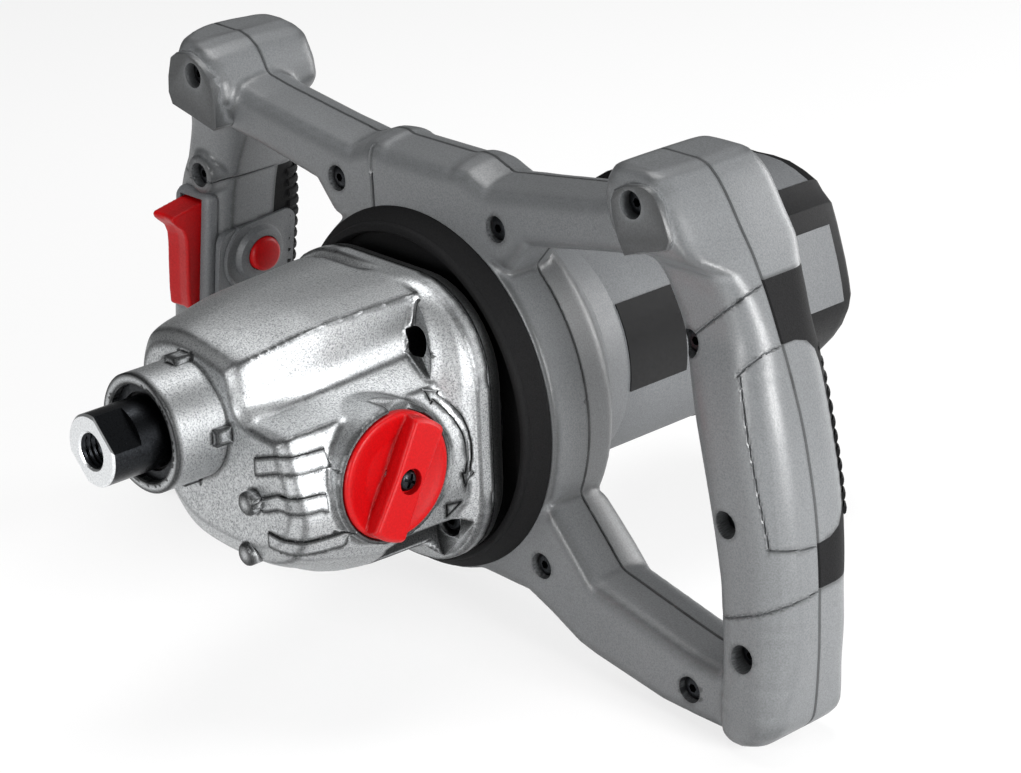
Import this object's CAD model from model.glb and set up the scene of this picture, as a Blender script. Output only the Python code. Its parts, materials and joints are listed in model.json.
import json
import math
import bmesh
import bpy
from mathutils import Matrix, Vector
from mathutils.bvhtree import BVHTree


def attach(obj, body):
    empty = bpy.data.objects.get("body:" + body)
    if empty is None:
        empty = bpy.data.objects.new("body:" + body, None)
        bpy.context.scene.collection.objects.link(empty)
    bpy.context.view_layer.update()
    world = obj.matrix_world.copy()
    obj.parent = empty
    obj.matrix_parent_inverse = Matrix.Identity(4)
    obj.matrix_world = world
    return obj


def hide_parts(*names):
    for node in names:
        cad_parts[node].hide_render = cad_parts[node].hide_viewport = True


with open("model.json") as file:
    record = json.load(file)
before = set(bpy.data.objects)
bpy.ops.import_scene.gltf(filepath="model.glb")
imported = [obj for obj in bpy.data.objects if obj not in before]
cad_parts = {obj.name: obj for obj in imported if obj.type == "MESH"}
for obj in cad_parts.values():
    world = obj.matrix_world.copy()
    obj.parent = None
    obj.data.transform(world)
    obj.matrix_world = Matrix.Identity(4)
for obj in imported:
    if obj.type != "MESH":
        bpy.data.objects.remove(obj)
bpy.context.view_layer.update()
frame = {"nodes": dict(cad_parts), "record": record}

# Every piece is drawn in millimetres from the motor axis at the parting plane of the
# handle frame, with X to the right, -Y towards the spindle and +Z up, and is then moved
# to the frame, whose origin is the mouth of the spindle's thread.
spindleX, spindleZ, noseY = -9.5, 16.1, 155
spindleAt, layshaftAt, idlerAt = (spindleX, spindleZ), (19.6, 0.6), (5.43, -17.7)
toFrame = Matrix.Scale(0.001, 4) @ Matrix.Translation((-spindleX, noseY, -spindleZ))
floorZ = -88.5


def inFrame(x, y, z):
    return toFrame @ Vector((x, y, z))


# mesh helpers


def newObject(name, bm):
    bmesh.ops.remove_doubles(bm, verts=bm.verts, dist=1e-4)
    bmesh.ops.recalc_face_normals(bm, faces=bm.faces)
    mesh = bpy.data.meshes.new(name)
    bm.to_mesh(mesh)
    bm.free()
    obj = bpy.data.objects.new(name, mesh)
    bpy.context.scene.collection.objects.link(obj)
    return obj


def addRings(bm, rings, closed=True):
    # joins equal rings of points; a ring of one point is a pole
    rows = [[bm.verts.new(p) for p in ring] for ring in rings]
    for a, b in zip(rows, rows[1:]):
        n = max(len(a), len(b))
        for j in range(n):
            k = (j + 1) % n
            corners = []
            for v in (a[j % len(a)], a[k % len(a)], b[k % len(b)], b[j % len(b)]):
                if v not in corners:
                    corners.append(v)
            if len(corners) > 2:
                bm.faces.new(corners)
    if closed:
        for row in (rows[0], rows[-1]):
            if len(row) > 2:
                bm.faces.new(row)


def circlePoints(r, y, at, steps, turn=0.0):
    if r < 1e-6:
        return [(at[0], y, at[1])]
    return [(at[0] + r * math.cos(turn + 2 * math.pi * i / steps), y,
             at[1] + r * math.sin(turn + 2 * math.pi * i / steps)) for i in range(steps)]


def addTurnedY(bm, outline, at=(0, 0), steps=96):
    # outline of [radius, y] round an axis along Y at [x, z]
    addRings(bm, [circlePoints(r, y, at, steps) for r, y in outline])


def addTurnedX(bm, outline, at=(0, 0), steps=64):
    # outline of [radius, x] round an axis along X at [y, z]
    rings = [[(x, at[0] + p[0], at[1] + p[2]) for p in circlePoints(r, 0, (0, 0), steps)]
             for r, x in outline]
    addRings(bm, rings)


def addPrismY(bm, points, y0, y1):
    addRings(bm, [[(x, y, z) for x, z in points] for y in (y0, y1)])


def addPrismX(bm, points, x0, x1):
    addRings(bm, [[(x, y, z) for y, z in points] for x in (x0, x1)])


def boxPoints(low, high):
    return [(low[0], low[1]), (high[0], low[1]), (high[0], high[1]), (low[0], high[1])]


def addBox(bm, low, high):
    addPrismY(bm, boxPoints((low[0], low[2]), (high[0], high[2])), low[1], high[1])


def rod(radius, start, end):
    # outline of a plain cylinder, to be turned
    return [(0, start), (radius, start), (radius, end), (0, end)]


def solid(name, add, *where, **settings):
    # an object that is one solid, made by one of the functions above
    bm = bmesh.new()
    add(bm, *where, **settings)
    return newObject(name, bm)


def roundedPoints(u0, u1, v0, v1, corner, steps=6):
    # one radius for all corners, or four: from the corner at u1, v1 round by u0, v1
    radii = corner if isinstance(corner, (list, tuple)) else [corner] * 4
    points = []
    for q in range(4):
        r = min(radii[q], (u1 - u0) / 2 - 0.1, (v1 - v0) / 2 - 0.1)
        cu = u1 - r if q in (0, 3) else u0 + r
        cv = v1 - r if q < 2 else v0 + r
        for k in range(steps + 1):
            a = math.radians(90 * (q + k / steps))
            points.append((cu + r * math.cos(a), cv + r * math.sin(a)))
    return points


def settle(obj):
    # turns the live modifiers into plain mesh
    graph = bpy.context.evaluated_depsgraph_get()
    made = bpy.data.meshes.new_from_object(obj.evaluated_get(graph), depsgraph=graph)
    old = obj.data
    obj.modifiers.clear()
    obj.data = made
    bpy.data.meshes.remove(old)
    return obj


def modify(obj, kind, **settings):
    modifier = obj.modifiers.new(kind.lower(), kind)
    for key, value in settings.items():
        setattr(modifier, key, value)
    return settle(obj)


def combine(obj, other, operation="DIFFERENCE", keep=False):
    modify(obj, "BOOLEAN", operation=operation, object=other, solver="MANIFOLD")
    if not keep:
        bpy.data.objects.remove(other)
    return obj


def copyOf(obj, name):
    made = bpy.data.objects.new(name, obj.data.copy())
    bpy.context.scene.collection.objects.link(made)
    return made


def moulded(obj, voxel, smoothing):
    # one skin round overlapping solids, with softened edges
    modify(obj, "REMESH", mode="VOXEL", voxel_size=voxel)
    modify(obj, "SMOOTH", factor=0.5, iterations=smoothing)
    return obj


def cubicWeights(t):
    # weights of the two ends of a cubic curve and of the slopes there
    return 2 * t**3 - 3 * t**2 + 1, 3 * t**2 - 2 * t**3, t**3 - 2 * t**2 + t, t**3 - t**2


def smoothBetween(stations, step):
    # stations of [place, values...] filled in on monotone cubic curves
    places = [s[0] for s in stations]
    columns = list(zip(*[s[1:] for s in stations]))
    slopes = []
    for column in columns:
        secants = [(b - a) / (q - p) for a, b, p, q in
                   zip(column, column[1:], places, places[1:])]
        row = [secants[0]]
        for s, t in zip(secants, secants[1:]):
            row.append(0.0 if s * t <= 0 else 2 * s * t / (s + t))
        slopes.append(row + [secants[-1]])
    filled = []
    for i in range(len(places) - 1):
        span = places[i + 1] - places[i]
        count = max(1, round(abs(span) / step))
        for k in range(count):
            t = k / count
            a, b, c, d = cubicWeights(t)
            filled.append([places[i] + t * span] + [
                a * col[i] + b * col[i + 1] + span * (c * m[i] + d * m[i + 1])
                for col, m in zip(columns, slopes)])
    return filled + [list(stations[-1])]


def finishPiece(obj, finish, body, slot, *nodes, sharp=35):
    # moves a piece to the frame, shades it smooth up to an angle and hands it to its body
    obj.data.transform(toFrame)
    bm = bmesh.new()
    bm.from_mesh(obj.data)
    for face in bm.faces:
        face.smooth = True
    for edge in bm.edges:
        edge.smooth = len(edge.link_faces) == 2 and edge.calc_face_angle() < math.radians(sharp)
    bm.to_mesh(obj.data)
    bm.free()
    obj.data.materials.clear()
    obj.data.materials.append(finishes[finish])
    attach(obj, body)
    if nodes:
        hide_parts(*nodes)
    return obj


# materials


def linear(hexColour):
    values = [int(hexColour[i:i + 2], 16) / 255 for i in (1, 3, 5)]
    return tuple(v / 12.92 if v <= 0.04045 else ((v + 0.055) / 1.055) ** 2.4
                 for v in values) + (1.0,)


def addNode(tree, kind, settings=None, **inputs):
    # a node with its settings; an input is a value or another node's output socket
    node = tree.nodes.new(kind)
    for key, value in (settings or {}).items():
        setattr(node, key, value)
    for key, value in inputs.items():
        socket = node.inputs[int(key[1:]) if key[1:].isdigit() else key.replace("_", " ")]
        if isinstance(value, bpy.types.NodeSocket):
            tree.links.new(value, socket)
        else:
            socket.default_value = value
    return node


def newMaterial(name):
    material = bpy.data.materials.new(name)
    material.use_nodes = True
    tree = material.node_tree
    tree.nodes.clear()
    return material, tree


def grain(tree, size, detail=3.0, roughness=0.55, stretch=(1, 1, 1)):
    # noise on Object coordinates whose grain is size millimetres
    place = addNode(tree, "ShaderNodeTexCoord").outputs["Object"]
    mapped = addNode(tree, "ShaderNodeMapping", Vector=place, Scale=stretch)
    return addNode(tree, "ShaderNodeTexNoise", Vector=mapped.outputs[0], Scale=1000 / size,
                   Detail=detail, Roughness=roughness).outputs["Fac"]


def ramp(tree, value, stops, interpolation="LINEAR"):
    node = addNode(tree, "ShaderNodeValToRGB", Fac=value)
    node.color_ramp.interpolation = interpolation
    while len(node.color_ramp.elements) < len(stops):
        node.color_ramp.elements.new(0.5)
    for element, (place, colour) in zip(node.color_ramp.elements, stops):
        element.position = place
        element.color = linear(colour) if isinstance(colour, str) else (colour,) * 3 + (1.0,)
    return node.outputs["Color"]


def surface(tree, colour, rough, normal=None, **constants):
    settings = {"Base_Color": colour, "Roughness": rough}
    settings.update(constants)
    if normal is not None:
        settings["Normal"] = normal
    shader = addNode(tree, "ShaderNodeBsdfPrincipled", **settings)
    addNode(tree, "ShaderNodeOutputMaterial", Surface=shader.outputs[0])


def bump(tree, height, depth, before=None):
    # depth is in millimetres
    settings = {"Height": height, "Strength": 1.0, "Distance": depth / 1000}
    if before is not None:
        settings["Normal"] = before
    return addNode(tree, "ShaderNodeBump", **settings).outputs[0]


def edgeTone(tree, colour, marks, spread, stops):
    # darkens tight edges and corners, broken up by the surface's own grain
    curve = addNode(tree, "ShaderNodeNewGeometry").outputs["Pointiness"]
    offset = addNode(tree, "ShaderNodeMath", {"operation": "SUBTRACT"}, _0=curve, _1=0.5)
    amount = addNode(tree, "ShaderNodeMath", {"operation": "ABSOLUTE"}, _0=offset.outputs[0])
    broken = addNode(tree, "ShaderNodeMath", {"operation": "MULTIPLY_ADD"}, _0=marks, _1=spread,
                     _2=amount.outputs[0]).outputs[0]
    return addNode(tree, "ShaderNodeMix", {"data_type": "RGBA", "blend_type": "MULTIPLY"},
                   _0=1.0, _6=colour, _7=ramp(tree, broken, stops)).outputs[2]


def mouldedPlastic(name, dark, light, size, depth, rough, ior=1.53, edges=None):
    # Plastic or rubber, moulded in a spark-eroded tool: a fine even grain that breaks up the
    # highlights, with a faint cloudiness from the flow of the melt.
    material, tree = newMaterial(name)
    fine = grain(tree, size)
    cloud = grain(tree, 38, 2.0)
    tint = ramp(tree, fine, [(0.32, dark), (0.68, light)])
    shade = ramp(tree, cloud, [(0.3, 0.93), (0.7, 1.0)])
    colour = addNode(tree, "ShaderNodeMix", {"data_type": "RGBA", "blend_type": "MULTIPLY"},
                     _0=1.0, _6=tint, _7=shade).outputs[2]
    if edges:
        colour = edgeTone(tree, colour, fine, 0.01, edges)
    roughness = ramp(tree, fine, [(0.3, rough + 0.07), (0.7, rough - 0.05)])
    surface(tree, colour, roughness, bump(tree, fine, depth), IOR=ior)
    return material


def plainMetal(name, dark, light, size, depth, rough, stretch=(1, 1, 1)):
    # a metal with its own grain: turned and drawn parts stretch it along one axis
    material, tree = newMaterial(name)
    marks = grain(tree, size, 3.0, 0.6, stretch)
    colour = ramp(tree, marks, [(0.3, dark), (0.7, light)])
    roughness = ramp(tree, marks, [(0.3, rough + 0.08), (0.7, rough - 0.06)])
    surface(tree, colour, roughness, bump(tree, marks, depth), Metallic=1.0)
    return material


# Dark and light colour, size of the grain and depth of the bump in millimetres, and
# roughness. The grain dulls the sheen of the dark and red ones, so their IOR is low.
plastics = {
    # Glass-filled nylon: grey with a fine sparkle, darker on the frame's tight edges
    "frameNylon": {"dark": "#565859", "light": "#6c6e70", "size": 0.55, "depth": 0.04,
                   "rough": 0.38, "edges": [(0.01, 1.0), (0.03, 0.55), (0.08, 0.3)]},
    "housingNylon": {"dark": "#505254", "light": "#636567", "size": 0.6, "depth": 0.05,
                     "rough": 0.5},
    "blackNylon": {"dark": "#0b0b0c", "light": "#141415", "size": 0.6, "depth": 0.05,
                   "rough": 0.5, "ior": 1.22},
    # Soft rubber moulded over the nylon: matt and nearly black
    "gripRubber": {"dark": "#09090a", "light": "#121213", "size": 0.5, "depth": 0.06,
                   "rough": 0.7, "ior": 1.25},
    # ABS coloured through: smooth and a little glossy
    "redAbs": {"dark": "#960004", "light": "#ad0307", "size": 0.8, "depth": 0.01,
               "rough": 0.4, "ior": 1.3},
    # Printed polyester film: flat, dark and half glossy
    "labelFilm": {"dark": "#0b0b0c", "light": "#101011", "size": 1.5, "depth": 0.01,
                  "rough": 0.4, "ior": 1.3},
    # Pressed carbon: dull and dark grey
    "carbonBlock": {"dark": "#1c1c1d", "light": "#2b2b2c", "size": 0.5, "depth": 0.03,
                    "rough": 0.6},
}
metals = {
    # Die-cast aluminium with a fine even grain
    "coverAluminium": {"dark": "#a4a6a8", "light": "#c3c5c7", "size": 0.6, "depth": 0.03,
                       "rough": 0.36},
    # Turned steel: fine rings round the axis, so the grain is long across Y
    "brightSteel": {"dark": "#8f9396", "light": "#c2c5c8", "size": 0.8, "depth": 0.02,
                    "rough": 0.26, "stretch": (0.15, 1, 0.15)},
    # Steel with a black oxide finish: dark and a little oily, with the bright metal showing
    "blackSteel": {"dark": "#1c1d1f", "light": "#35373a", "size": 0.7, "depth": 0.02,
                   "rough": 0.34},
    # Stacked sheet steel: thin dark lines across the axis, 0.5 mm sheets drawn 1 mm thick
    "coreSteel": {"dark": "#4a4d50", "light": "#8c9093", "size": 1.0, "depth": 0.05,
                  "rough": 0.4, "stretch": (0.02, 1, 0.02)},
    # Enamelled copper wire: warm brown, with a grain that runs along the turns
    "copperWire": {"dark": "#7a3b1c", "light": "#c4743f", "size": 0.9, "depth": 0.08,
                   "rough": 0.32, "stretch": (1, 0.1, 1)},
    # Stamped brass sheet: pale yellow and half bright
    "brassSheet": {"dark": "#a98436", "light": "#cfae5a", "size": 0.9, "depth": 0.02,
                   "rough": 0.3},
}
castFinish = {"dark": "#747678", "light": "#c6c8c9", "size": 0.6}
spindleFinish = {"black": ("#1c1d1f", "#35373a"), "ground": ("#c9cbcd", "#eceeef"),
                 "groundTo": 0.0009}


def shotBlasted(name, dark, light, size):
    # die-cast aluminium, shot-blasted: a fine bright and dark sparkle. The blasting leaves
    # a darker tone on tight edges and in corners, which the curvature picks out.
    material, tree = newMaterial(name)
    marks = grain(tree, size, 2.0, 0.7)
    colour = ramp(tree, marks, [(0.3, dark), (0.62, light)])
    tone = edgeTone(tree, colour, marks, 0.014, [(0.011, 1.0), (0.021, 0.45), (0.05, 0.15)])
    roughness = ramp(tree, marks, [(0.3, 0.52), (0.7, 0.4)])
    surface(tree, tone, roughness, bump(tree, marks, 0.06), Metallic=1.0)
    return material


def groundFaceSteel(name, black, ground, groundTo):
    # the black steel of the screws, with a front face ground bright up to a place along Y
    material, tree = newMaterial(name)
    marks = grain(tree, 0.7, 3.0, 0.6)
    place = addNode(tree, "ShaderNodeTexCoord").outputs["Object"]
    along = addNode(tree, "ShaderNodeSeparateXYZ", Vector=place).outputs["Y"]
    share = addNode(tree, "ShaderNodeMapRange", Value=along, From_Min=groundTo,
                    From_Max=groundTo - 0.0002).outputs[0]
    tint = addNode(tree, "ShaderNodeMix", {"data_type": "RGBA"}, _0=share,
                   _6=ramp(tree, marks, list(zip((0.3, 0.7), black))),
                   _7=ramp(tree, marks, list(zip((0.3, 0.7), ground)))).outputs[2]
    roughness = ramp(tree, marks, [(0.3, 0.36), (0.7, 0.26)])
    surface(tree, tint, roughness, bump(tree, marks, 0.02), Metallic=1.0)
    return material


finishes = {name: mouldedPlastic(name, **values) for name, values in plastics.items()}
finishes.update((name, plainMetal(name, **values)) for name, values in metals.items())
finishes["castAluminium"] = shotBlasted("castAluminium", **castFinish)
finishes["spindleSteel"] = groundFaceSteel("spindleSteel", **spindleFinish)

slotFinishes = {
    "frame_grey": "frameNylon", "housing_grey": "housingNylon", "black_plastic": "blackNylon",
    "black_rubber": "gripRubber", "red_plastic": "redAbs", "label_black": "labelFilm",
    "cast_aluminium": "castAluminium", "cover_aluminium": "coverAluminium",
    "bright_steel": "brightSteel", "black_steel": "blackSteel", "core_steel": "coreSteel",
    "copper": "copperWire", "brass": "brassSheet", "carbon": "carbonBlock",
}
for entry in frame["record"]["subparts"]:
    cadNode = frame["nodes"][entry["node"]]
    cadNode.data.materials.clear()
    cadNode.data.materials.append(finishes[slotFinishes[entry["material_slot"]]])
print("materials ready", len(finishes))

# handle frame

handleFrame = {
    "switchFront": 7, "barDepth": 16, "barHeight": 22,
    "hubRadius": 70.8, "hubBore": 66, "hubLip": 60.6, "hubRear": 15, "barCorner": 4.2,
    "boss": (-134.6, 51.3), "bossRadius": 8, "bossFront": -11.4, "padFront": -25.4,
    "voxel": 1.25, "smoothing": 3, "grooveWidth": 0.7, "grooveDepth": 0.55,
    "seamWidth": 0.6, "seamDepth": 0.7, "windowX": (-142, -98), "windowZ": (-40, 84),
}
h = handleFrame

# Sections of the two grips from the foot up, each as height, inner and outer x, front and
# rear depth, corner radius inside and outside, and crown
rightUpright = [
    [-86.4, 152, 163, 18, 15.5, 5, 5, 0], [-83, 150.5, 170, 20.5, 17.5, 6, 6, 0],
    [-75, 150, 176.8, 22, 18.5, 8, 8, 0], [-60, 148.5, 178.4, 21, 19, 11, 11, 0],
    [-45, 146, 179, 19, 20, 12, 12, 0], [-28, 144, 179, 19, 21, 14, 14, 0],
    [-5, 140, 177.6, 19, 21.8, 14, 14, 0], [25, 133, 172.2, 18.5, 22, 14, 14, 0],
    [45, 128, 166, 15.5, 22.5, 12, 12, 0], [58, 123, 161, 12.5, 22.5, 11, 11, 0],
    [70, 118, 156, 12.5, 23, 9, 9, 0], [78, 113.5, 152, 14.5, 24.5, 8, 8, 1],
    [83.5, 109.5, 149, 22, 25.5, 6, 6, 2.5], [90, 105, 144.6, 24, 26, 6, 6, 3.5],
    [101, 103, 137.6, 24, 26, 6, 6, 3], [106, 104, 133.6, 23.5, 25, 6, 6, 2.5],
    [109.4, 106, 129.6, 22, 23, 5, 5, 2], [110.6, 109, 125, 20, 20, 3, 3, 1.5]]
leftUpright = [
    [-88.5, 152, 164, 18, 19, 5, 5, 0], [-84.5, 150.5, 171, 21, 21.5, 6, 6, 0],
    [-75, 150, 177.2, 22, 22, 8, 8, 0], [-60, 148.5, 178.6, 21, 22.5, 11, 11, 0],
    [-45, 144, 179, 13, 29, 10, 16, 0], [-28, 140, 178.6, 7, 35, 9, 19, 0],
    [-5, 136.2, 176.6, 7, 36.5, 8, 20, 0], [25, 131.2, 170.4, 7, 36.5, 8, 20, 0],
    [45, 127, 162.6, 7.5, 34, 9, 19, 0], [52, 124.6, 158, 7.8, 31.5, 10, 17, 0],
    [60, 121, 154, 8.5, 28, 11, 16, 0], [70, 116, 149, 9.5, 25, 11, 14, 0],
    [77, 111.5, 145.5, 11.5, 25, 9, 11, 1], [82, 107, 143, 20, 25, 7, 7, 5],
    [90, 100.5, 143.5, 24, 26, 6, 6, 9], [96, 101.2, 142.5, 24, 26, 6, 6, 11],
    [101, 103.4, 140.5, 24, 26, 6, 6, 11.5], [106, 107, 138.5, 23, 26, 5, 6, 11],
    [109, 112, 136, 22, 24.5, 4, 5, 9.5], [110.6, 118, 133, 20, 22.5, 3, 4, 6.5]]


def uprightRing(z, inner, outer, front, rear, innerRound, outerRound, crown):
    # a rounded section that bulges outwards and upwards towards the parting line
    ring, points = [], roundedPoints(-front, rear, inner, outer,
                                     (outerRound, outerRound, innerRound, innerRound))
    for (y, x), (nextY, nextX) in zip(points, points[1:] + points[:1]):
        count = max(1, round(math.hypot(nextY - y, nextX - x) / 4))
        for k in range(count):
            atY, atX = y + (nextY - y) * k / count, x + (nextX - x) * k / count
            fall = crown * (abs(atY) / front) ** 1.6 if atY < 0 else \
                0.35 * crown * (atY / rear) ** 1.6
            share = max(0, (atX - inner) / (outer - inner) * 2 - 1)
            ring.append((atX - fall * share, atY, z - fall * 0.15))
    return ring


def barStations():
    # [x, low z, high z, front depth, rear depth, crown]: the top falls by the crown from
    # the parting line to the front and the rear. The boss over the hub has a hump at each end.
    d, tall = h["barDepth"], h["barHeight"]
    topBar = [
        [-1, 60, 89.7, d, d - 2, 3], [17, 58, 89.7, d, d - 2, 3], [20.5, 57, 91, d, d - 2, 3.6],
        [26.5, 56.3, 90.4, d, d - 2, 3.6], [30, 56, 89, d, d - 2, 3.6],
        [36.3, 55.3, 86.6, d, d - 2, 3.6], [46, 54.4, 88.1, d, d - 2.5, 3.6],
        [56, 65.8, 89.4, d, d - 3, 3.4], [89, 94.2 - tall, 94.2, d, d - 3, 3],
        [112, 98.6 - tall, 98.6, d + 1, d - 3, 2]]
    lowBar = [
        [26, -65.4, -40, d, d - 1, 1], [52.5, -66, -30, d, d - 1, 1],
        [65.3, -71.4, -27.4, d, d - 1, 1], [78.4, -78, -41.6, d, d, 1],
        [86.3, -80, -50.4, d, d, 1], [119.7, -85.6, -58.2, d, d, 1],
        [134, -86, -61.2, d, d, 1], [158, -86, -64, d, d - 1, 0.5]]
    return topBar, lowBar


def crownedRing(front, rear, low, high, crown):
    # section of a bar as y and z: crowned and round-edged in front, half round behind
    r = h["barCorner"]
    ring = []
    for q, (cy, cz) in enumerate(((rear - r, high - r), (r - front, high - r),
                                  (r - front, low + r), (rear - r, low + r))):
        for k in range(4):
            angle = math.radians(90 * q + 30 * k)
            ring.append((cy + r * math.cos(angle), cz + r * math.sin(angle)))
        if q in (0, 2):
            for share in (0.8, 0.6, 0.4, 0.2, 0, -0.3, -0.6):
                reach = share if q == 0 else -share
                ring.append((reach * (rear if reach > 0 else front), high if q == 0 else low))
    middle = (low + high) / 2
    fallen = []
    for y, z in ring:
        if y > 0:
            reach = min(y / rear, 1)
            fall = min(12, high - middle) * (1 - math.sqrt(1 - 0.85 * reach * reach))
            fallen.append((y, z - fall if z > middle else z + fall))
        else:
            fall = crown * (-y / front) ** 1.4
            fallen.append((y, z - fall if z > middle else z + fall * 0.4))
    return fallen


def addBeams(bm, side):
    stations = smoothBetween(rightUpright if side > 0 else leftUpright, 3)
    addRings(bm, [[(side * x, y, z) for x, y, z in uprightRing(*s)] for s in stations])
    for bar in barStations():
        addRings(bm, [[(side * s[0], y, z) for y, z in
                       crownedRing(s[3], s[4], s[1], s[2], s[5])] for s in bar])


def addHub(bm):
    r, d, inner = h["hubRadius"], h["barDepth"], h["hubBore"] - 4
    profile = [(inner, -d), (r - 2.6, -d), (r - 1.1, -d + 1.2), (r, 0), (r - 1, h["hubRear"] - 4),
               (r - 3.4, h["hubRear"]), (inner, h["hubRear"])]
    rings = [circlePoints(r, y, (0, 0), 160) for r, y in profile]
    addRings(bm, rings + [rings[0]], closed=False)


def groove(bm, point, normal, inside, width, depth):
    # a V-shaped groove where a plane meets the skin, for the faces that lie inside
    normal = Vector(normal).normalized()
    for shift in (-width, width, 0):
        faces = [f for f in bm.faces if inside(f.calc_center_median())]
        geometry = faces + list({e for f in faces for e in f.edges}) \
            + list({v for f in faces for v in f.verts})
        bmesh.ops.bisect_plane(bm, geom=geometry, dist=1e-5,
                               plane_co=Vector(point) + normal * shift, plane_no=normal)
    bm.normal_update()
    place = Vector(point)
    moved = [v for v in bm.verts if abs((v.co - place).dot(normal)) < 1e-4 and inside(v.co)]
    for v, inward in [(v, v.normal - normal * v.normal.dot(normal)) for v in moved]:
        v.co -= inward * depth


# Each screw as x, z and the depth of the frame's skin in front of the parting line
frameScrews = {
    "recessRadius": 4.9, "recessDepth": 5.2, "headRadius": 4.85, "headHeight": 3.6,
    "shankRadius": 2, "shankEnd": 14, "socketRadius": 1.7, "socketFloor": 1.4,
    "places": [(119.2, 99.4, 24), (132.8, 51.4, 11.4), (43, 71, 16.4), (162, -52, 17),
               (134, -75, 16), (61, -52, 16), (154, -5.5, 15),
               (-114.5, 98.4, 24), (*h["boss"], 10.6), (-43, 71, 16.4), (-158, -54, 14),
               (-134, -75, 16), (-61, -52, 16)],
}

bm = bmesh.new()
for side in (1, -1):
    addBeams(bm, side)
addHub(bm)
# the boss round the screw above the trigger
r, front = h["bossRadius"], h["bossFront"]
addTurnedY(bm, [(0, front), (r - 0.6, front), (r, front + 0.6), (r, 4), (0, 4)], h["boss"], 48)
wholeFrame = newObject("wholeFrame", bm)
moulded(wholeFrame, h["voxel"], h["smoothing"])


def atParting(p):
    # near the parting plane, but clear of the trigger's window
    x, z = h["windowX"], h["windowZ"]
    return abs(p.y) < 6 and not (x[0] < p.x < x[1] and z[0] < p.z < z[1])


bm = bmesh.new()
bm.from_mesh(wholeFrame.data)
groove(bm, (0, 0, 0), (0, 1, 0), atParting, h["grooveWidth"], h["grooveDepth"])
# Creases down the front of the boss over the hub: x, lean, x range, front, width and depth
hubCreases = [(-20.8, 0.03, (-26, -16), -13.5, 1.0, 0.9),
              (20.3, 0.14, (14, 27), -14.5, 0.45, 0.7)]
for x, lean, (low, high), front, width, depth in hubCreases:
    groove(bm, (x, 0, 0), (1, 0, lean),
           lambda p: p.y < front and 60 < p.z < 90 and low < p.x < high, width, depth)
# Seams round the grips, each given by three points of its plane and by the x and z range
# that it stays in
gripSeams = [
    ((133.5, -11.5, 54), (152, -10, 70), (155, 0, 74.8), (134, 160), (48, 80)),
    ((156.5, -14.5, 47.5), (160.7, -8.9, 53.2), (162.3, 0, 54.6), (155.6, 170), (44, 58)),
    ((157, -14.5, 46), (171.7, -16.6, -10), (160, -20.5, 46), (150, 177), (-10, 47)),
    ((171.7, -16.6, -10), (176.3, -11.6, -10.4), (178, 0, -11.9), (171, 182), (-15, -7)),
    ((150, -13, -41), (160, -15, -37), (179, 0, -27.6), (140, 182), (-46, -22)),
    ((-120, -2, 49.6), (-120, 18, 50), (-150, 0, 49.4), (-165, -110), (46, 53)),
]
for first, second, third, rangeX, rangeZ in gripSeams:
    a, b, c = Vector(first), Vector(second), Vector(third)
    groove(bm, a, (b - a).cross(c - a),
           lambda p: -24 < p.y < (20 if p.x < 0 else -0.8) and rangeX[0] < p.x < rangeX[1]
           and rangeZ[0] < p.z < rangeZ[1], h["seamWidth"], h["seamDepth"])
bm.to_mesh(wholeFrame.data)
bm.free()

# The hub's bore with the lip at its front
lipRear = 3 - h["barDepth"]
combine(wholeFrame, solid("hubCutter", addTurnedY, [
    (0, -60), (h["hubLip"], -60), (h["hubLip"], lipRear), (h["hubBore"], lipRear),
    (h["hubBore"], 60), (0, 60)], steps=160))
# Flat raised pads on the fronts of the corner blocks
cornerPads = [
    [(109.7, 99.2), (111.4, 102.9), (117, 105.6), (122, 106.6), (126.1, 106.6), (129.3, 105.2),
     (132, 102.2), (134.8, 96.4), (136.8, 90.6), (135.4, 87.4), (131.5, 86), (123.3, 83.7),
     (115.5, 81), (112.8, 85.9), (110.2, 93.9)],
    [(-128.4, 103), (-130.8, 95.3), (-131.4, 88.8), (-129.4, 84.2), (-117, 81.5), (-104.5, 78.5),
     (-102.8, 80), (-102.4, 88.9), (-102.8, 95), (-104.6, 98.8), (-108.6, 102.6), (-113, 105),
     (-118.4, 106.3), (-124.4, 105.6)],
]
bm = bmesh.new()
for outline in cornerPads:
    middle = sum((Vector(point) for point in outline), Vector((0, 0))) / len(outline)
    rings = []
    for y, share in ((h["padFront"], 0.965), (h["padFront"] + 0.6, 1), (-12, 1)):
        rings.append([(middle.x + (x - middle.x) * share, y, middle.y + (z - middle.y) * share)
                      for x, z in outline])
    addRings(bm, rings)
combine(wholeFrame, newObject("cornerPads", bm), "UNION")
print("frame skin", len(wholeFrame.data.polygons))

s = frameScrews
bm = bmesh.new()
for x, z, skin in s["places"]:
    addTurnedY(bm, rod(s["recessRadius"], -60, s["recessDepth"] - skin), (x, z), 32)
combine(wholeFrame, newObject("screwCutter", bm))

frontCutter = solid("frontCutter", addBox, (-220, -80, -140), (220, 0, 160))
rearHalf = copyOf(wholeFrame, "rearFrame")
frontHalf = combine(wholeFrame, frontCutter, "INTERSECT", keep=True)
frontHalf.name = "frontFrame"
combine(rearHalf, frontCutter, keep=True)
print("frame halves", len(frontHalf.data.polygons), len(rearHalf.data.polygons))

# frame screws: black button heads that nearly fill their recesses

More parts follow.
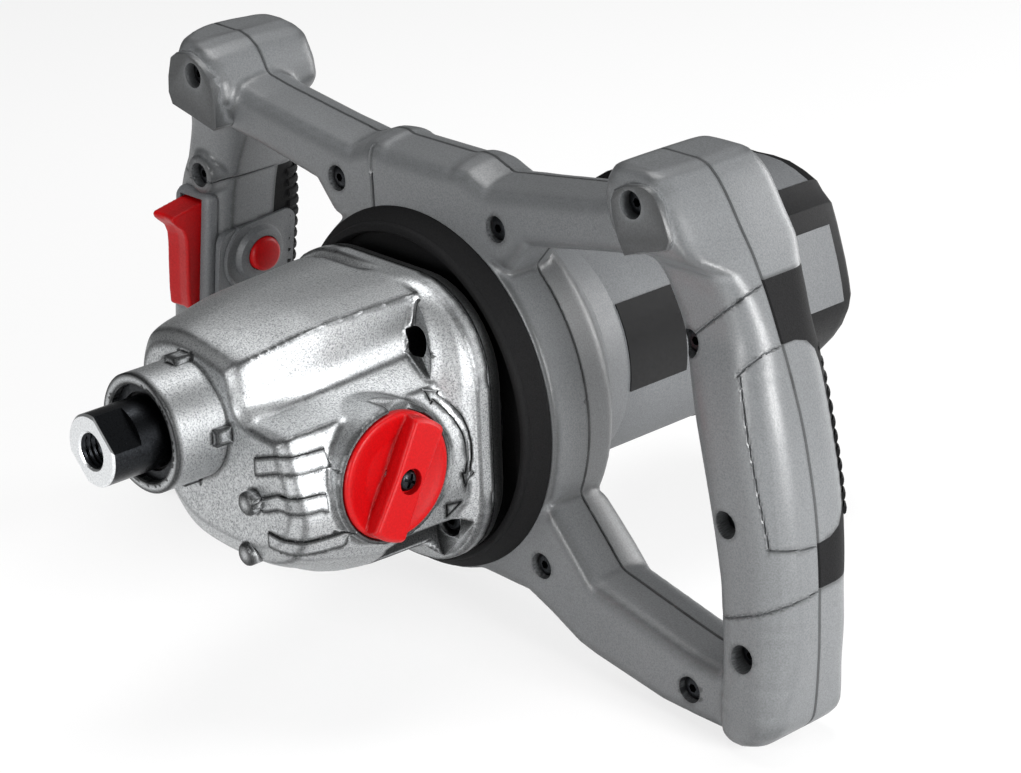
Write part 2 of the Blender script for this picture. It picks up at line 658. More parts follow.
bm, sockets = bmesh.new(), bmesh.new()
for x, z, skin in s["places"]:
    seat, r, shank = s["recessDepth"] - skin, s["headRadius"], s["shankRadius"]
    top = seat - s["headHeight"]
    addTurnedY(bm, [(0, top), (2.8, top), (4.4, top + 0.8), (r, seat - 1.6), (r, seat),
                    (shank, seat), (shank, s["shankEnd"]), (0, s["shankEnd"])], (x, z), 28)
    addTurnedY(sockets, rod(s["socketRadius"], seat - 6, seat - s["socketFloor"]), (x, z), 6)
screws = newObject("frameScrews", bm)
combine(screws, newObject("sockets", sockets))
finishPiece(screws, "blackSteel", "drill_body", "black_steel", "frame_screws")

# switch grip

switchGrip = {
    "triggerX": -149.1, "triggerLow": -6.5, "triggerHeight": 47, "triggerWidth": 13.4,
    "triggerLean": 0.15,
    "bezelLip": 4.8, "bezelProud": 4, "gap": 0.35,
    "stemAt": (-147, 22), "stemRadius": 2.6, "stemEnd": 7.8, "stemRoom": 3.2, "roomEnd": 15,
    "lockX": -133, "lockY": 12, "lockZ": 14, "lean": 10,
    "plateFront": -18.7, "plateRear": 19, "plateHalf": 22, "plateThick": 4, "plateRound": 6,
    "buttonAt": (13, 14), "buttonRadius": 7, "buttonTop": 7.2, "roomRadius": 14, "fit": 0.05,
    # the two rings on the plate, as radius and height, round y and z on the plate
    "ringsAt": (1, 6),
    "innerRing": [(0, -3.3), (13.2, -3.3), (13.2, -0.6), (11.8, 0.1), (10.6, 2.4), (8.4, 3.2),
                  (0, 3.2)],
    "outerRing": [(0, -3), (17.6, -3), (17.4, 0.4), (16.6, 0.9), (15.8, 0.4), (15.4, -0.6),
                  (0, -0.6)],
}
g = switchGrip
halfTrigger = g["triggerWidth"] / 2
triggerHigh = g["triggerLow"] + g["triggerHeight"]
leanTurn = Matrix.Translation((g["lockX"], g["lockY"], g["lockZ"] - 6)) \
    @ Matrix.Rotation(math.radians(g["lean"]), 4, "Y")


def leaned(name, bm):
    # leans a mesh sideways with the grip
    for v in bm.verts:
        v.co.x += g["triggerLean"] * (v.co.z - g["triggerLow"])
    return newObject(name, bm)


def lockBlock(name, grow):
    # the lock's plate, whose top edge falls towards the front
    bm = bmesh.new()
    rear, half = g["plateRear"], g["plateHalf"] + grow
    outline = roundedPoints(g["plateFront"] - grow, rear + grow, -half, half, g["plateRound"], 8)
    addPrismX(bm, [(y, z + min(0, (y - rear) * 0.1) if z > 0 else z) for y, z in outline],
              -g["plateThick"] - grow, grow)
    bmesh.ops.transform(bm, matrix=leanTurn, verts=bm.verts)
    return newObject(name, bm)


bm = bmesh.new()
window = halfTrigger + 2.2
addBox(bm, (g["triggerX"] - window, -60, g["triggerLow"] - 2),
       (g["triggerX"] + window, 3.2, triggerHigh + 2))
windowCutter = leaned("windowCutter", bm)
stemRoom = solid("stemRoom", addTurnedY, rod(g["stemRoom"], -6, g["roomEnd"]), g["stemAt"], 24)
for half in (frontHalf, rearHalf):
    combine(half, windowCutter, keep=True)
    combine(half, stemRoom, keep=True)
    combine(half, lockBlock("lockCutter", g["fit"]))
    combine(half, solid("ringCutter", addTurnedX,
                        rod(g["roomRadius"], g["lockX"] - 3.4, g["lockX"] + 30),
                        (g["lockY"], g["lockZ"])))
for cutter in (windowCutter, stemRoom, frontCutter):
    bpy.data.objects.remove(cutter)

# Rubber over the rear of each grip: the outline of its region as y and z, for each side
softRegions = {
    1: [(0, 75), (60, 75), (60, -27), (0, -27), (0, -11), (6, -10.4), (11, -8), (14.2, -3.5),
        (15, 2), (15, 45), (14, 50), (11, 53.5), (6, 55), (0, 55)],
    -1: [(20.5, 49.6), (60, 49.6), (60, -27), (20.5, -27)],
}
for side, softName, nodeName in ((1, "rightSoftGrip", "right_soft_grip"),
                                 (-1, "leftSoftGrip", "left_soft_grip")):
    low, high = sorted((side * 100, side * 200))
    region = solid("region", addPrismX, softRegions[side], low, high)
    soft = copyOf(rearHalf, softName)
    combine(soft, region, "INTERSECT", keep=True)
    combine(rearHalf, region)
    finishPiece(soft, "gripRubber", "drill_body", "black_rubber", nodeName)

# Ribs across the rubber: one rib bar set out along each grip's rear by Geometry Nodes. Each
# grip is given as side, name, sections, lowest and highest rib and reach round the sides.
gripRibs = {
    "pitch": 4.8, "thick": 1.6, "proud": 0.4, "sunk": 0.4,
    "grips": [(1, "rightGripRibs", rightUpright, -7, 50, 6),
              (-1, "leftGripRibs", leftUpright, -22, 45, 12)],
}


def ribGroup():
    group = bpy.data.node_groups.new("gripRibs", "GeometryNodeTree")
    for name, kind in (("Line", "NodeSocketGeometry"), ("Bar", "NodeSocketObject"),
                       ("Pitch", "NodeSocketFloat"), ("Rubber", "NodeSocketMaterial")):
        group.interface.new_socket(name=name, in_out="INPUT", socket_type=kind)
    group.interface.new_socket(name="Ribs", in_out="OUTPUT", socket_type="NodeSocketGeometry")
    given = addNode(group, "NodeGroupInput").outputs
    curve = addNode(group, "GeometryNodeMeshToCurve", Mesh=given["Line"]).outputs[0]
    even = addNode(group, "GeometryNodeResampleCurve", {"mode": "LENGTH"}, Curve=curve,
                   Length=given["Pitch"]).outputs[0]
    bar = addNode(group, "GeometryNodeObjectInfo", Object=given["Bar"]).outputs["Geometry"]
    wide = addNode(group, "GeometryNodeInputNamedAttribute", {"data_type": "FLOAT"}, Name="wide")
    size = addNode(group, "ShaderNodeCombineXYZ", X=wide.outputs[0], Y=1.0, Z=1.0).outputs[0]
    placed = addNode(group, "GeometryNodeInstanceOnPoints", Points=even, Instance=bar,
                     Scale=size).outputs[0]
    real = addNode(group, "GeometryNodeRealizeInstances", Geometry=placed).outputs[0]
    coated = addNode(group, "GeometryNodeSetMaterial", Geometry=real,
                     Material=given["Rubber"]).outputs[0]
    addNode(group, "NodeGroupOutput", Ribs=coated)
    return group


def ribBar(name, row, side, wrap):
    # a rib of round section along the rear of a grip's section, centred on its rear face
    proud, sunk, thick = (gripRibs[k] for k in ("proud", "sunk", "thick"))
    z, inner, outer, front, rear, innerRound, outerRound, crown = row
    points = roundedPoints(-front, rear, inner, outer,
                           (outerRound, outerRound, innerRound, innerRound), 10)
    line = [(side * (x - (inner + outer) / 2), y - rear) for y, x in points[-11:] + points[:11]
            if y > rear - wrap][::-side]
    rings = []
    for i, (x, y) in enumerate(line):
        before, after = Vector(line[max(i - 1, 0)]), Vector(line[min(i + 1, len(line) - 1)])
        along = (after - before).normalized()
        out = Vector((-along.y, along.x))
        ring = []
        for k in range(8):
            angle = math.radians(45 * k)
            point = Vector((x, y)) + out * (math.cos(angle) * (proud + sunk) - sunk)
            ring.append((point.x, point.y, math.sin(angle) * thick))
        rings.append(ring)
    return solid(name, addRings, rings)


group = ribGroup()
for side, name, stations, low, high, wrap in gripRibs["grips"]:
    rows = [row for row in smoothBetween(stations, 3) if low <= row[0] <= high]
    bm = bmesh.new()
    verts = [bm.verts.new((side * (row[1] + row[2]) / 2, row[4] - 0.2, row[0])) for row in rows]
    for a, b in zip(verts, verts[1:]):
        bm.edges.new((a, b))
    line = bpy.data.meshes.new(name)
    bm.to_mesh(line)
    bm.free()
    middle = rows[len(rows) // 2]
    wide = line.attributes.new("wide", "FLOAT", "POINT")
    wide.data.foreach_set("value", [(row[2] - row[1]) / (middle[2] - middle[1]) for row in rows])
    ribs = bpy.data.objects.new(name, line)
    bpy.context.scene.collection.objects.link(ribs)
    bar = ribBar("ribBar", middle, side, wrap)
    nodes = ribs.modifiers.new("ribs", "NODES")
    nodes.node_group = group
    values = {"Bar": bar, "Pitch": gripRibs["pitch"], "Rubber": finishes["gripRubber"]}
    for item in group.interface.items_tree:
        if item.in_out == "INPUT" and item.name in values:
            nodes[item.identifier] = values[item.name]
    settle(ribs)
    bpy.data.objects.remove(bar)
    finishPiece(ribs, "gripRubber", "drill_body", "black_rubber")
    print("ribs", len(ribs.data.polygons))

finishPiece(frontHalf, "frameNylon", "drill_body", "frame_grey", "front_frame")
finishPiece(rearHalf, "frameNylon", "drill_body", "frame_grey", "rear_frame")
print("handle frame ready")

# trigger, bezel, lock

triggerOutline = [(-3.5, -6.5), (-14.2, -6.5), (-15.4, -5.5), (-16.2, 1), (-16.8, 11),
                  (-17.2, 21), (-17.8, 26), (-19.4, 29.6), (-22.6, 32.4), (-24.4, 34.2),
                  (-24.9, 35.6), (-24.2, 36.6), (-11, 39.4), (-3.5, 40.4)]
bm = bmesh.new()
rings = []
for reach, inset in ((halfTrigger, 0.5), (halfTrigger - 0.9, 0), (0, 0.9),
                     (0.9 - halfTrigger, 0), (-halfTrigger, 0.5)):
    rings.append([(g["triggerX"] + reach, y + (inset if y < -4 else 0), z)
                  for y, z in triggerOutline])
addRings(bm, rings)
trigger = leaned("trigger", bm)
moulded(trigger, 0.5, 4)
stem = solid("stem", addTurnedY, rod(g["stemRadius"], -5, g["stemEnd"]), g["stemAt"], 24)
combine(trigger, stem, "UNION")
finishPiece(trigger, "redAbs", "trigger", "red_plastic", "trigger", sharp=60)

# bezel: a rounded frame round the window, on the grip's front
bm = bmesh.new()
lip, proud = g["bezelLip"], g["bezelProud"]
face = -h["switchFront"]
x0, x1 = g["triggerX"] - halfTrigger, g["triggerX"] + halfTrigger
z0, z1 = g["triggerLow"], triggerHigh
rings = []
for y, grow, corner in ((face + 3, lip - 1.6, 3), (face + 0.3, lip - 0.2, 4),
                        (face - proud + 2.2, lip - 0.2, 4.4),
                        (face - proud + 0.9, lip - 0.9, 4.2),
                        (face - proud + 0.1, lip - 2.4, 3.4)):
    rings.append([(x, y, z) for x, z in
                  roundedPoints(x0 - grow, x1 + grow, z0 - grow, z1 + grow - 1.6, corner)])
addRings(bm, rings)
bezel = leaned("bezel", bm)
bm = bmesh.new()
gap = g["gap"]
addBox(bm, (x0 - gap, -60, z0 - gap), (x1 + gap, 20, z1 + gap))
combine(bezel, leaned("triggerRoom", bm))
bossRoom = solid("bossRoom", addTurnedY, rod(h["bossRadius"] + 0.2, -30, 20), h["boss"], 48)
combine(bezel, bossRoom)
combine(bezel, lockBlock("lockRoom", gap))
finishPiece(bezel, "housingNylon", "drill_body", "black_plastic", "switch_bezel", sharp=40)

# lock plate with its two ring-shaped steps
plate = lockBlock("lockPlate", -g["fit"])
inner = solid("innerRing", addTurnedX, g["innerRing"], g["ringsAt"], 64)
inner.data.transform(leanTurn)
combine(plate, inner, "UNION")
outer = solid("outerRing", addTurnedX, g["outerRing"], g["ringsAt"], 72)
combine(outer, solid("ringLimit", addBox, (-6, -18.4, -21.6), (6, 5, 19.4)), "INTERSECT")
outer.data.transform(leanTurn)
combine(plate, outer, "UNION")
x, r, top = g["lockX"], g["buttonRadius"], g["lockX"] + g["buttonTop"]
combine(plate, solid("buttonRoom", addTurnedX, rod(r + g["gap"], x - 30, x + 30),
                     g["buttonAt"], 48))
finishPiece(plate, "housingNylon", "drill_body", "housing_grey", "lock_plate")
bm = bmesh.new()
addTurnedX(bm, [(0, x - 12), (3, x - 12), (3, x - 3), (r, x - 3), (r, top - 1.6),
                (r - 0.5, top - 0.6), (r - 1.6, top - 0.1), (0, top)], g["buttonAt"], 64)
button = newObject("lockButton", bm)
finishPiece(button, "redAbs", "lock_button", "red_plastic", "lock_button", sharp=50)
print("switch grip ready")

# gearbox housing

gearboxHousing = {
    "frontY": -113, "flangeFront": -46, "flangeRear": -31, "flangeHalf": 54, "flangeRound": 34,
    "neckFront": -134.6, "neckRadius": 21.5, "neckBore": 17.5, "shaftBore": 14,
    "knobY": -74.5, "knobRim": 25, "knobRecess": 23.15, "knobBore": 5.3, "rimX": 53,
    "recessX": 49.5,
    "lugWidth": 6, "lugOut": 2.2, "lineWidth": 0.7, "lineDepth": 0.9, "padHeight": 0.7,
    "padMoat": 0.45, "moatDepth": 0.5,
    "padCorner": (38, -104), "shoulderAt": (13, 26), "shoulderRadius": 28.3,
    "shoulderCut": [(30.2, 31.8), (37.2, 27.8), (45.2, 23.3), (62, 14), (62, 58), (30.6, 58)],
    "hollowAt": (42.5, -40),
    "pocketRadius": 6.2, "topPocketFront": -47, "lowPocketFront": -72, "pocketFloor": -33.5,
    "screws": [(32.6, 34.4), (37, -34), (-47, 27), (-47, -27)],
    "headRadius": 4.4, "headHeight": 3.6, "shankRadius": 2.4, "socketRadius": 2.3,
    "voxel": 1.0, "smoothing": 5,
    # small bosses under the neck, as x, z and front
    "bosses": [(24.4, -5.5, -118), (18, -27.5, -114.8)],
    # room for the gears, as in the solids: radius, front and axis of each chamber
    "chambers": [(25, -104, spindleAt), (27.5, -95, spindleAt), (14, -97.6, layshaftAt),
                 (19, -57, layshaftAt), (17.5, -44, idlerAt)],
}
g = gearboxHousing
# Outline at each distance from the motor, as x and z from the right side upwards and
# round: the ridge stands on the points from the third to the eighth.
housingOutlines = [
    (-g["frontY"] + 0.3, [
        (43, -3), (40.5, 7), (37.5, 18.5), (29, 19.4), (21.8, 20), (15.8, 24), (13.8, 31.5),
        (11.8, 37.4), (3.5, 39.2), (-8, 40.6), (-17, 40.6), (-25, 38.8), (-31, 35.2), (-35, 28.5),
        (-36, 16), (-34, 3), (-28, -7.4), (-21, -16), (-11.5, -21.6), (0, -23.3), (14, -23.6),
        (27, -22), (36.8, -17.5), (41.6, -10)]),
    (110, [
        (47, -4), (43.8, 7.6), (40.6, 20.6), (30, 21.3), (23.2, 21.8), (18.2, 25.8), (16.8, 33),
        (15.2, 40.6), (4, 43), (-8, 44.8), (-17, 45), (-27, 42.8), (-34.2, 38.8), (-38.2, 30),
        (-39.3, 16), (-37.2, 2), (-31.3, -10.8), (-24.8, -21), (-15.7, -28), (-3, -30.3),
        (12, -30.5), (27.8, -29), (40.4, -23.4), (46.2, -13.4)]),
    (99, [
        (49, -4), (46, 8), (42, 21.6), (31.5, 22.8), (25, 23.6), (21.5, 28), (20.5, 36),
        (19.5, 44.5), (6, 46.6), (-8, 47.8), (-18, 47.6), (-29, 45), (-37, 40.5), (-41, 31),
        (-42.5, 16), (-41, 1), (-36, -12), (-29, -24.6), (-20, -33.6), (-6, -37.3), (10, -37.4),
        (28, -34.8), (43, -26.5), (48.4, -14.4)]),
    (80, [
        (50.5, -4), (47.6, 8.4), (43, 22.2), (34, 24.6), (28, 27), (26, 33), (26, 41), (26, 50),
        (10, 51.6), (-6, 51.8), (-20, 50.8), (-33, 47), (-41, 41), (-45.4, 32), (-47, 16), (-46, 0),
        (-43, -14), (-37, -29), (-29, -41), (-15, -47.6), (5, -47.8), (27, -42.4), (43.5, -31.5),
        (50, -16.5)]),
    (42, [
        (53, -4), (50.5, 9), (44.8, 23), (37, 27.4), (31.2, 31), (29, 38), (29.5, 45), (30.5, 52),
        (18, 53.6), (0, 53.8), (-16, 53.6), (-31, 50.4), (-42, 44), (-49.6, 33.8), (-51.8, 17),
        (-51.4, 1), (-50, -13), (-46.4, -27), (-40, -39), (-27, -48.4), (-7, -51), (17, -48.5),
        (38, -39), (51, -21)]),
]


def curveThrough(points, creases, steps):
    # a closed curve through the points, straight on both sides of each crease
    n = len(points)
    slopes = [(0.0, 0.0) if i in creases else
              ((points[(i + 1) % n][0] - points[i - 1][0]) / 2,
               (points[(i + 1) % n][1] - points[i - 1][1]) / 2) for i in range(n)]
    curve = []
    for i in range(n):
        for k in range(steps):
            a, b, c, d = cubicWeights(k / steps)
            j = (i + 1) % n
            curve.append(tuple(a * points[i][q] + b * points[j][q]
                               + c * slopes[i][q] + d * slopes[j][q] for q in (0, 1)))
    return curve


def squareReach(angle, centre, half, corner):
    # distance from the centre to a rounded square round the motor axis, along an angle
    reach, step = 20.0, 20.0
    while step > 0.01:
        x, z = centre[0] + reach * math.cos(angle), centre[1] + reach * math.sin(angle)
        over = Vector((max(abs(x) - half + corner, 0), max(abs(z) - half + corner, 0))).length
        if over < corner:
            reach += step
        else:
            step /= 2
            reach -= step
    return reach


def shoulderFront(z):
    # the round face of the shoulder leans back towards the top
    return g["flangeFront"] + 0.28 * (min(z, g["flangeHalf"]) - 34)


def addShoulder(bm):
    # swells from the leaning face to the flange
    centre, low, half, rings = g["shoulderAt"], g["shoulderRadius"], g["flangeHalf"], []
    for lift, share in ((0, 0), (0.28, 0.42), (0.6, 0.76), (1.0, 1.0)):
        ring = []
        for k in range(72):
            angle = 2 * math.pi * k / 72
            reach = low + (squareReach(angle, centre, half, g["flangeRound"]) - low) * share
            x, z = centre[0] + reach * math.cos(angle), centre[1] + reach * math.sin(angle)
            front = shoulderFront(z) - 1.2
            ring.append((x, front + (g["flangeFront"] + 10 - front) * lift, min(z, half)))
        rings.append(ring)
    addRings(bm, rings)


def housingBody():
    stations = []
    for y, outline in housingOutlines:
        curve = curveThrough(outline, (2, 4, 7), 3)
        stations.append([y] + [value for point in curve for value in point])
    bm = bmesh.new()
    addRings(bm, [[(s[i], -s[0], s[i + 1]) for i in range(1, len(s), 2)]
                  for s in smoothBetween(stations, 2)])
    half = g["flangeHalf"]
    flange = roundedPoints(-half, half, -half, half, g["flangeRound"], 12)
    addPrismY(bm, flange, g["flangeFront"] + 9, g["flangeRear"])
    addShoulder(bm)
    addTurnedX(bm, rod(g["knobRim"], 20, g["rimX"]), (g["knobY"], 0), 96)
    addTurnedY(bm, rod(g["neckRadius"] - 1.5, -100, g["neckFront"] + 4), spindleAt, 96)
    return moulded(newObject("gearboxHousing", bm), g["voxel"], g["smoothing"])


housing = housingBody()
print("gearbox skin", len(housing.data.polygons))

neck, front = g["neckRadius"], g["neckFront"]
neckTube = [(0, front), (neck - 3, front), (neck - 2, front), (neck - 1.2, front),
            (neck - 0.5, front), (neck, front + 0.5)]
neckTube += [(neck, front + 1.5 + 1.2 * k) for k in range(20)] + [(0, front + 24.3)]
combine(housing, solid("neckTube", addTurnedY, neckTube, spindleAt, 128), "UNION")
bm = bmesh.new()
for x, z, front in g["bosses"]:
    addTurnedY(bm, [(0, -100), (4.3, -100), (4.3, front + 1.4), (4, front + 0.6), (3.2, front),
                    (1.6, front), (0, front)], (x, z), 40)
combine(housing, newObject("smallBosses", bm), "UNION")
bm = bmesh.new()
for turn in range(4):
    angle = math.radians(90 * turn)
    lug = bmesh.new()
    addBox(lug, (g["neckRadius"] - 2, -120, -g["lugWidth"] / 2),
           (g["neckRadius"] + g["lugOut"], -110, g["lugWidth"] / 2))
    bmesh.ops.subdivide_edges(lug, edges=list(lug.edges), cuts=6, use_grid_fill=True)
    place = Matrix.Translation((spindleX, 0, spindleZ)) @ Matrix.Rotation(angle, 4, "Y")
    bmesh.ops.transform(lug, matrix=place, verts=lug.verts)
    lugMesh = bpy.data.meshes.new("lug")
    lug.to_mesh(lugMesh)
    lug.free()
    bm.from_mesh(lugMesh)
    bpy.data.meshes.remove(lugMesh)
combine(housing, newObject("lugs", bm), "UNION")

bore, front = g["neckBore"], g["neckFront"]
combine(housing, solid("neckCutter", addTurnedY, [
    (0, -140), (bore + 0.5, -140), (bore + 0.5, front), (bore, front + 0.5), (bore, -114),
    (g["shaftBore"], -114), (g["shaftBore"], -60), (0, -60)], spindleAt, 128))
recess, rim = g["knobRecess"], g["rimX"]
bm = bmesh.new()
addTurnedX(bm, [(0, g["recessX"]), (recess, g["recessX"]), (recess, rim - 0.5),
                (recess + 0.6, rim + 0.2), (recess + 0.6, 60), (0, 60)], (g["knobY"], 0), 96)
addTurnedX(bm, rod(g["knobBore"], 30, 51), (g["knobY"], 0), 32)
combine(housing, newObject("knobCutter", bm))
bm = bmesh.new()
for x, z in g["screws"]:
    front = g["topPocketFront"] if z > 0 else g["lowPocketFront"]
    addTurnedY(bm, rod(g["pocketRadius"], front, g["pocketFloor"]), (x, z), 40)
combine(housing, newObject("pocketCutter", bm))
# The leaning face behind the upper right ridge, cut flat, and the hollow under the knob
combine(housing, solid("shoulderCutter", addRings, [
    [(x, -76, z) for x, z in g["shoulderCut"]],
    [(x, shoulderFront(z), z) for x, z in g["shoulderCut"]]]))
combine(housing, solid("lowerHollow", addTurnedY, [
    (0, -73), (9, -73), (12.5, -66), (12.5, -38), (0, -38)], g["hollowAt"], 48))
for radius, front, at in g["chambers"]:
    combine(housing, solid("chamber", addTurnedY, rod(radius, front, 0), at, 64))
combine(housing, solid("forkRoom", addBox, (20, g["knobY"] - 8, -8), (38, g["knobY"] + 8, 8)))
print("gearbox cut", len(housing.data.polygons))

# Raised pads that wrap the front right edge: front end x, its z range, side end y, its z range
raisedPads = [
    (26, (4.3, 10.6), (8.8, 14.8), -98, (9, 14.8)),
    (28.5, (-8.4, -3.6), (-4.6, 0.8), -101.5, (-6, 0.4)),
    (31, (-20.5, -15.2), (-21.3, -15.6), -93.5, (-21.3, -15.6)),
]


def surfaceTree(obj):
    return BVHTree.FromPolygons([v.co for v in obj.data.vertices],
                                [p.vertices for p in obj.data.polygons])


def padSolid(tree, pad, grow, below, above):
    # a band laid on the skin from the front face round the edge to the side face
    startX, startZ, edgeZ, endY, endZ = pad
    cornerX, cornerY = g["padCorner"]
    lines = []
    for k in range(13):
        x = startX - grow + (cornerX - startX + grow) * k / 12
        lines.append((k / 12, Vector((x, -150, 0)), Vector((0, 1, 0)), startZ, edgeZ))
    for k in range(1, 14):
        angle = math.radians(90 * k / 14)
        aim = Vector((-math.sin(angle), math.cos(angle), 0))
        lines.append((1, Vector((cornerX, cornerY, 0)) - aim * 50, aim, edgeZ, edgeZ))
    for k in range(13):
        y = cornerY + (endY + grow - cornerY) * k / 12
        lines.append((k / 12, Vector((100, y, 0)), Vector((-1, 0, 0)), edgeZ, endZ))
    rings = []
    for share, origin, aim, start, end in lines:
        low = start[0] + (end[0] - start[0]) * share - grow
        high = start[1] + (end[1] - start[1]) * share + grow
        outer, inner = [], []
        for k in range(10):
            z = low + (high - low) * k / 9
            point = tree.ray_cast(Vector((origin.x, origin.y, z)), aim)[0]
            outer.append(point - aim * above)
            inner.append(point + aim * below)
        rings.append(outer + inner[::-1])
    return solid("pad", addRings, rings)


skin = surfaceTree(housing)
padMoats = [padSolid(skin, pad, g["padMoat"], g["moatDepth"], 2) for pad in raisedPads]
padBodies = [padSolid(skin, pad, 0, 1.2, g["padHeight"]) for pad in raisedPads]
for moat, pad in zip(padMoats, padBodies):
    combine(housing, moat)
    combine(housing, pad, "UNION")

# The double arrow and the triangle beside the knob, as thin grooves: y and z
arrowLine = [(-53.0, 22.5), (-47.9, 20.9), (-48.7, 20.0), (-44.6, 15.4), (-42.0, 11.2),
             (-40.2, 5.8), (-39.4, 0.8), (-39.3, -4.6), (-40.2, -9.9), (-39.0, -10.8),
             (-43.1, -14.6), (-44.6, -8.8), (-43.2, -9.2), (-41.9, -4.2), (-41.8, 0.7),
             (-42.5, 5.2), (-44.6, 10.4), (-47.2, 14.4), (-50.6, 18.7), (-51.8, 17.8)]
triangleLine = [(-50.9, -19.2), (-44.0, -20.6), (-48.4, -25.7)]


def grooveAlong(tree, points):
    # a thin closed wall through the skin along a line of y and z
    half, outer, inner = g["lineWidth"] / 2, [], []
    n = len(points)
    for i in range(n):
        before, here, after = (Vector(points[q % n]) for q in (i - 1, i, i + 1))
        first, second = (here - before).normalized(), (after - here).normalized()
        side = Vector((-(first + second).y, (first + second).x)).normalized()
        width = half / max(side.dot(Vector((-first.y, first.x))), 0.35)
        outer.append(here + side * width)
        inner.append(here - side * width)
    bm = bmesh.new()
    rows = []
    for line in (outer, inner):
        found = [tree.ray_cast(Vector((100, p.x, p.y)), Vector((-1, 0, 0)))[0] for p in line]
        rows.append([bm.verts.new(p + Vector((1.0, 0, 0))) for p in found])
        rows.append([bm.verts.new(p - Vector((g["lineDepth"], 0, 0))) for p in found])
    for i in range(n):
        j = (i + 1) % n
        for first, second in ((0, 1), (1, 3), (3, 2), (2, 0)):
            a, b = rows[first], rows[second]
            bm.faces.new((a[i], a[j], b[j], b[i]))
    return newObject("line", bm)


skin = surfaceTree(housing)
for line in (arrowLine, triangleLine):
    combine(housing, grooveAlong(skin, line))
finishPiece(housing, "castAluminium", "drill_body", "cast_aluminium", "gearbox_housing", sharp=28)
print("gearbox housing ready", len(housing.data.polygons))

# the four flange screws, deep in their pockets
bm, sockets = bmesh.new(), bmesh.new()
seat, r, shank = g["pocketFloor"], g["headRadius"], g["shankRadius"]
top = seat - g["headHeight"]
for at in g["screws"]:
    addTurnedY(bm, [(0, top), (r - 0.8, top), (r, top + 0.8), (r, seat), (shank, seat),
                    (shank, -5), (0, -5)], at, 32)
    addTurnedY(sockets, rod(g["socketRadius"], seat - 6, seat - 1), at, 6)
gearboxScrews = newObject("gearboxScrews", bm)
combine(gearboxScrews, newObject("socketCutter", sockets))
finishPiece(gearboxScrews, "blackSteel", "drill_body", "black_steel", "gearbox_screws")

# cover behind the gearbox housing

gearboxCover = {
    # y and half width of the skin's stages, from the joint to the rear
    "stages": [(-31.05, 52.9), (-30.5, 52.9), (-30.4, 53.8), (-27.5, 53.4), (-24.6, 51.8),
               (-22.4, 48.6), (-21.2, 44.5)],
    "round": 34, "plug": 43, "rear": -16.4,
    "seats": [(7, spindleAt), (8.1, layshaftAt), (6.1, idlerAt), (6.5, (0, 0))],
}
g = gearboxCover
bm = bmesh.new()
addRings(bm, [[(x, y, z) for x, z in roundedPoints(-half, half, -half, half, g["round"], 12)]
              for y, half in g["stages"]])
cover = newObject("gearboxCover", bm)
combine(cover, solid("plug", addTurnedY, rod(g["plug"], -25, g["rear"])), "UNION")
for radius, at in g["seats"]:
    combine(cover, solid("bearingSeat", addTurnedY, rod(radius, -60, 0), at, 40))
finishPiece(cover, "castAluminium", "drill_body", "cast_aluminium", "gearbox_cover")

# rubber collar with its sealing lip

collarRing = [(45, -17.6), (60.6, -17.6), (60.6, -23.6), (61.2, -24.35), (62.6, -24.4),
              (63.4, -24.1), (63.8, -23.4), (64, -22.2), (64.8, -21.6), (67.6, -17.4),
              (68.3, -16.8), (68.45, -16.05), (45, -16.05)]
rings = [circlePoints(r, y, (0, 0), 192) for r, y in collarRing]
collar = solid("collarRing", addRings, rings + [rings[0]], closed=False)
finishPiece(collar, "gripRubber", "drill_body", "black_rubber", "collar_ring", sharp=40)
print("cover and collar ready")

# selector knob

selectorKnob = {
    "radius": 22.8, "back": 50, "disc": 54.4, "barHalf": 7.4, "barTop": 61, "tilt": 29,
    "shaftRoom": 5.1, "shankRoom": 2.2, "screwWell": 4.7, "wellDepth": 3,
    "headRadius": 3.9, "headTop": 60.6, "shankRadius": 1.9, "crossWidth": 1.1, "crossReach": 2.6,
}
g = selectorKnob
r, half, disc, back, barTop = (g[k] for k in ("radius", "barHalf", "disc", "back", "barTop"))
knob = solid("selectorKnob", addTurnedX, [
    (0, back), (r - 0.5, back), (r, back + 0.5), (r, disc - 1), (r - 0.8, disc),
    (r - 2.2, disc - 0.1), (r - 5, disc - 0.9), (r - 10, disc - 2), (0, disc - 2.2)], steps=96)
# plan of the grip bar: waisted, with blunt ends
plan = [(-half, -r), (-half + 0.3, -r * 0.6), (-half + 0.8, 0), (-half + 0.3, r * 0.6), (-half, r),
        (half, r), (half - 0.3, r * 0.6), (half - 0.7, 0), (half - 0.3, -r * 0.6), (half, -r)]
bm = bmesh.new()
addRings(bm, [[(x, y - math.copysign(shrink, y), z - math.copysign(shrink, z)) for y, z in plan]
              for x, shrink in ((disc - 4, -2.6), (disc + 0.5, -1.2), (barTop - 2, -0.1),
                                (barTop - 0.6, 0.3), (barTop, 1.1))])
bar = newObject("bar", bm)
combine(bar, solid("barLimit", addTurnedX, [
    (0, 40), (r - 0.7, 40), (r - 0.7, barTop - 1.5), (r - 2.2, barTop), (0, barTop)], steps=96),
    "INTERSECT")
combine(knob, bar, "UNION")
moulded(knob, 0.45, 5)
seat, well = barTop - g["wellDepth"], g["screwWell"]
combine(knob, solid("knobHole", addTurnedX, [
    (0, 40), (g["shaftRoom"], 40), (g["shaftRoom"], disc - 0.3), (g["shankRoom"], disc - 0.3),
    (g["shankRoom"], seat), (well, seat), (well, 70), (0, 70)], steps=40))
knobTurn = Matrix.Translation((0, gearboxHousing["knobY"], 0)) \
    @ Matrix.Rotation(-math.radians(g["tilt"]), 4, "X")
knob.data.transform(knobTurn)
finishPiece(knob, "redAbs", "selector", "red_plastic", "selector_knob")

